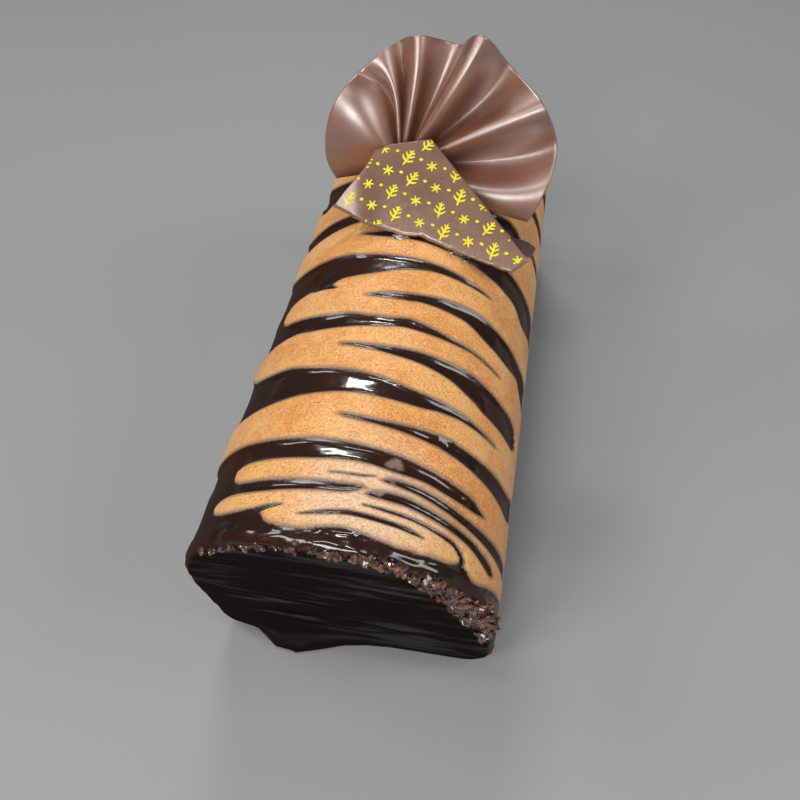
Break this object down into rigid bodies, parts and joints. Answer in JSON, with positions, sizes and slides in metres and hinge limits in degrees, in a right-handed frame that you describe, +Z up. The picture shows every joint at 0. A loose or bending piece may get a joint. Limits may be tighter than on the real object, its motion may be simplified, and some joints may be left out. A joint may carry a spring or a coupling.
{
  "type": "yule log cake",
  "caption": "Long round-topped glazed roll cake with tiger-striped relief, a pleated chocolate fan, a leaning chocolate plaque and a small chocolate chip on top.",
  "frame": {"origin": "middle of the flat foot the cake rests on", "axes": "+Z up, +Y along the roll from its cut front end to its rear end, +X to the right seen from the front"},
  "size_m": [0.082, 0.194, 0.1196],
  "materials": {
    "striped_glaze": "caramel velvet stripes over glossy dark cocoa glaze",
    "fan_chocolate": "satin milk chocolate",
    "plaque_chocolate": "glossy milk chocolate with a yellow transfer pattern",
    "chip_chocolate": "broken dark chocolate"
  },
  "bodies": {
    "root": {"log": "striped_glaze", "fan": "fan_chocolate", "plaque": "plaque_chocolate", "chip": "chip_chocolate"}
  },
  "joints": []
}
